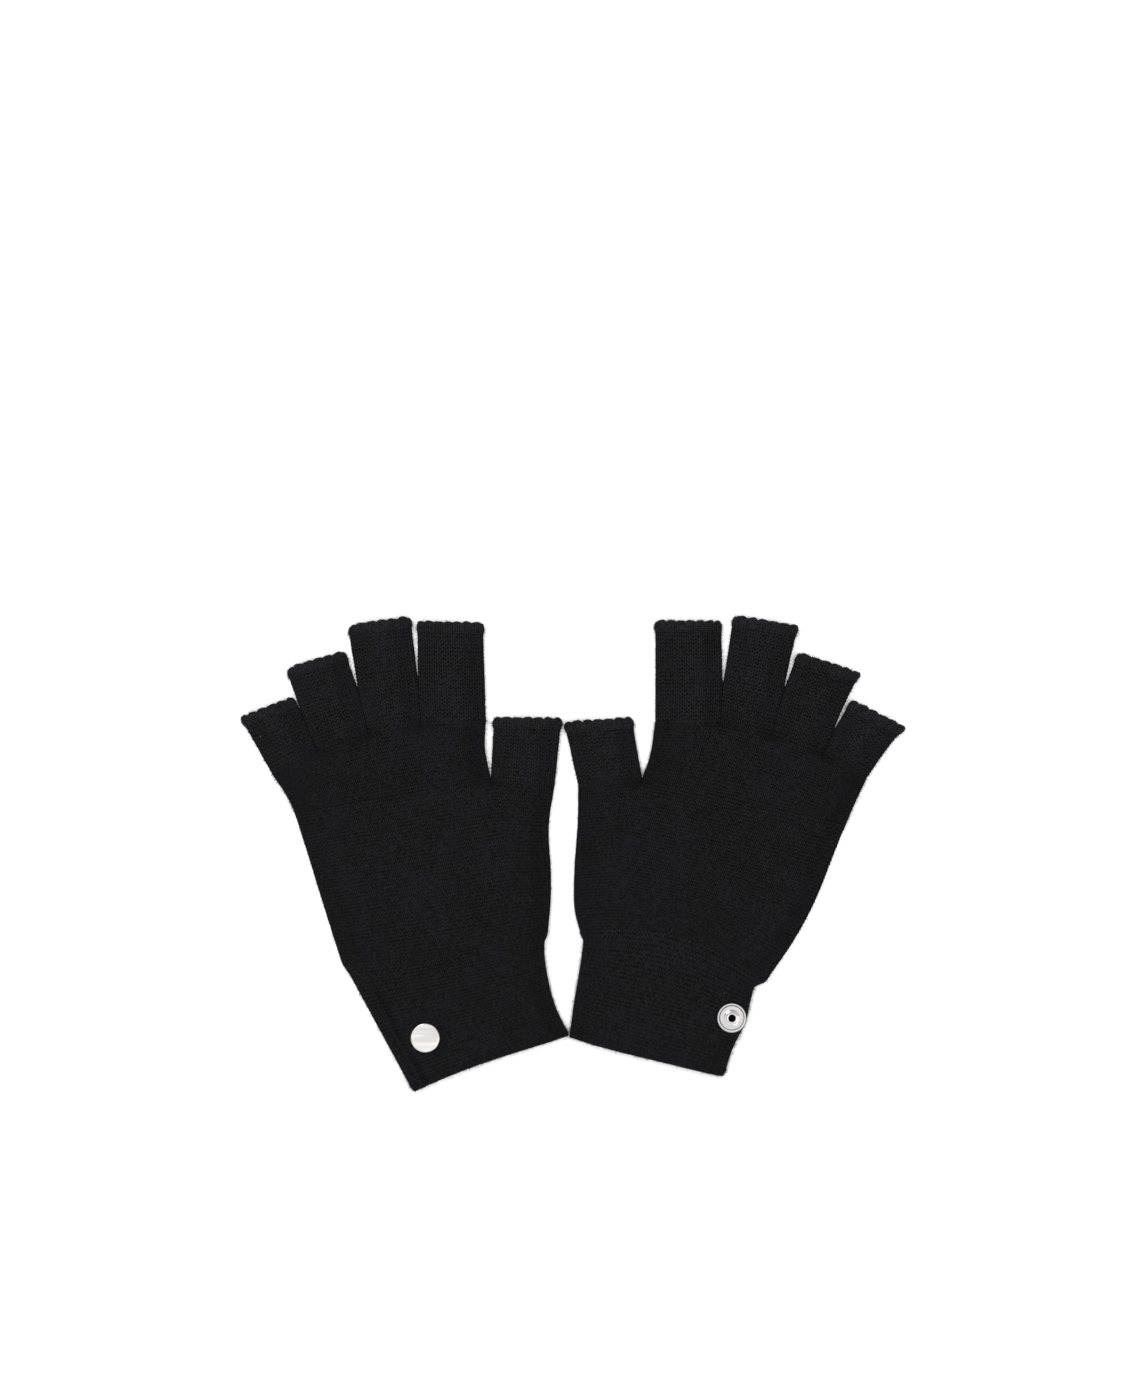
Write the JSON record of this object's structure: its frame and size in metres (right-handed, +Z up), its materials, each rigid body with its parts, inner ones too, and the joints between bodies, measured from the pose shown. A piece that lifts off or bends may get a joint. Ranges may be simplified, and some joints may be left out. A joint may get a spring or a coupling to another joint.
{
  "type": "fingerless knit glove pair",
  "caption": "Pair of black fingerless knitted gloves with ribbed cuffs, lying flat, with a press snap that buttons the two cuffs together.",
  "frame": {"origin": "centre of the pair's footprint, on the surface the gloves lie on", "axes": "+X across the pair from the first glove to the second, +Y towards the fingers, +Z up off the table"},
  "size_m": [0.2844, 0.2048, 0.0113],
  "materials": {
    "plain_knit": "plain jersey knit",
    "rib_knit": "one-by-one rib knit",
    "edging_yarn": "oversewn cast-off yarn",
    "stay_felt": "pressed felt",
    "satin_nickel": "satin",
    "bright_nickel": "polished",
    "spring_wire": "drawn wire"
  },
  "bodies": {
    "left_hand": {"left_hand": "plain_knit"},
    "left_cuff": {"left_cuff": "rib_knit", "left_cuff_welt": "rib_knit", "left_snap_stay": "stay_felt", "snap_cap": "satin_nickel", "snap_socket": "bright_nickel", "snap_spring": "spring_wire"},
    "left_thumb": {"left_thumb_stall": "plain_knit", "left_thumb_edging": "edging_yarn"},
    "left_index": {"left_index_stall": "plain_knit", "left_index_edging": "edging_yarn"},
    "left_middle": {"left_middle_stall": "plain_knit", "left_middle_edging": "edging_yarn"},
    "left_ring": {"left_ring_stall": "plain_knit", "left_ring_edging": "edging_yarn"},
    "left_little": {"left_little_stall": "plain_knit", "left_little_edging": "edging_yarn"},
    "right_hand": {"right_hand": "plain_knit"},
    "right_cuff": {"right_cuff": "rib_knit", "right_cuff_welt": "rib_knit", "right_snap_stay": "stay_felt", "snap_stud": "bright_nickel", "snap_post": "bright_nickel"},
    "right_thumb": {"right_thumb_stall": "plain_knit", "right_thumb_edging": "edging_yarn"},
    "right_index": {"right_index_stall": "plain_knit", "right_index_edging": "edging_yarn"},
    "right_middle": {"right_middle_stall": "plain_knit", "right_middle_edging": "edging_yarn"},
    "right_ring": {"right_ring_stall": "plain_knit", "right_ring_edging": "edging_yarn"},
    "right_little": {"right_little_stall": "plain_knit", "right_little_edging": "edging_yarn"}
  },
  "joints": [
    {"name": "left_cuff_fold", "type": "hinge", "parent": "left_hand", "child": "left_cuff", "pos_m": [-0.0542, -0.04037, 0.008], "axis": [-0.9887, -0.1499, 0], "range_deg": [0, 120]},
    {"name": "left_thumb_fold", "type": "hinge", "parent": "left_hand", "child": "left_thumb", "pos_m": [-0.02075, 0.03143, 0.008], "axis": [0.9962, -0.0872, 0], "range_deg": [0, 45]},
    {"name": "left_index_fold", "type": "hinge", "parent": "left_hand", "child": "left_index", "pos_m": [-0.05059, 0.05714, 0.008], "axis": [0.9994, 0.0349, 0], "range_deg": [0, 45]},
    {"name": "left_middle_fold", "type": "hinge", "parent": "left_hand", "child": "left_middle", "pos_m": [-0.07597, 0.05505, 0.008], "axis": [0.9903, 0.1392, 0], "range_deg": [0, 45]},
    {"name": "left_ring_fold", "type": "hinge", "parent": "left_hand", "child": "left_ring", "pos_m": [-0.09842, 0.04934, 0.008], "axis": [0.9373, 0.3486, 0], "range_deg": [0, 45]},
    {"name": "left_little_fold", "type": "hinge", "parent": "left_hand", "child": "left_little", "pos_m": [-0.11897, 0.03986, 0.008], "axis": [0.8704, 0.4924, 0], "range_deg": [0, 45]},
    {"name": "pair_apart", "type": "slide", "parent": "left_hand", "child": "right_hand", "axis": [1, 0, 0], "range_m": [0, 0.12]},
    {"name": "right_cuff_fold", "type": "hinge", "parent": "right_hand", "child": "right_cuff", "pos_m": [0.0438, -0.04347, 0.008], "axis": [-0.9658, 0.2595, 0], "range_deg": [0, 120]},
    {"name": "right_thumb_fold", "type": "hinge", "parent": "right_hand", "child": "right_thumb", "pos_m": [0.01679, 0.03097, 0.008], "axis": [0.9936, 0.1132, 0], "range_deg": [0, 45]},
    {"name": "right_index_fold", "type": "hinge", "parent": "right_hand", "child": "right_index", "pos_m": [0.05019, 0.05757, 0.008], "axis": [0.9995, 0.0314, 0], "range_deg": [0, 45]},
    {"name": "right_middle_fold", "type": "hinge", "parent": "right_hand", "child": "right_middle", "pos_m": [0.07539, 0.05542, 0.008], "axis": [0.9744, -0.225, 0], "range_deg": [0, 45]},
    {"name": "right_ring_fold", "type": "hinge", "parent": "right_hand", "child": "right_ring", "pos_m": [0.09761, 0.04861, 0.008], "axis": [0.9336, -0.3584, 0], "range_deg": [0, 45]},
    {"name": "right_little_fold", "type": "hinge", "parent": "right_hand", "child": "right_little", "pos_m": [0.11777, 0.03844, 0.008], "axis": [0.8387, -0.5446, 0], "range_deg": [0, 45]}
  ]
}
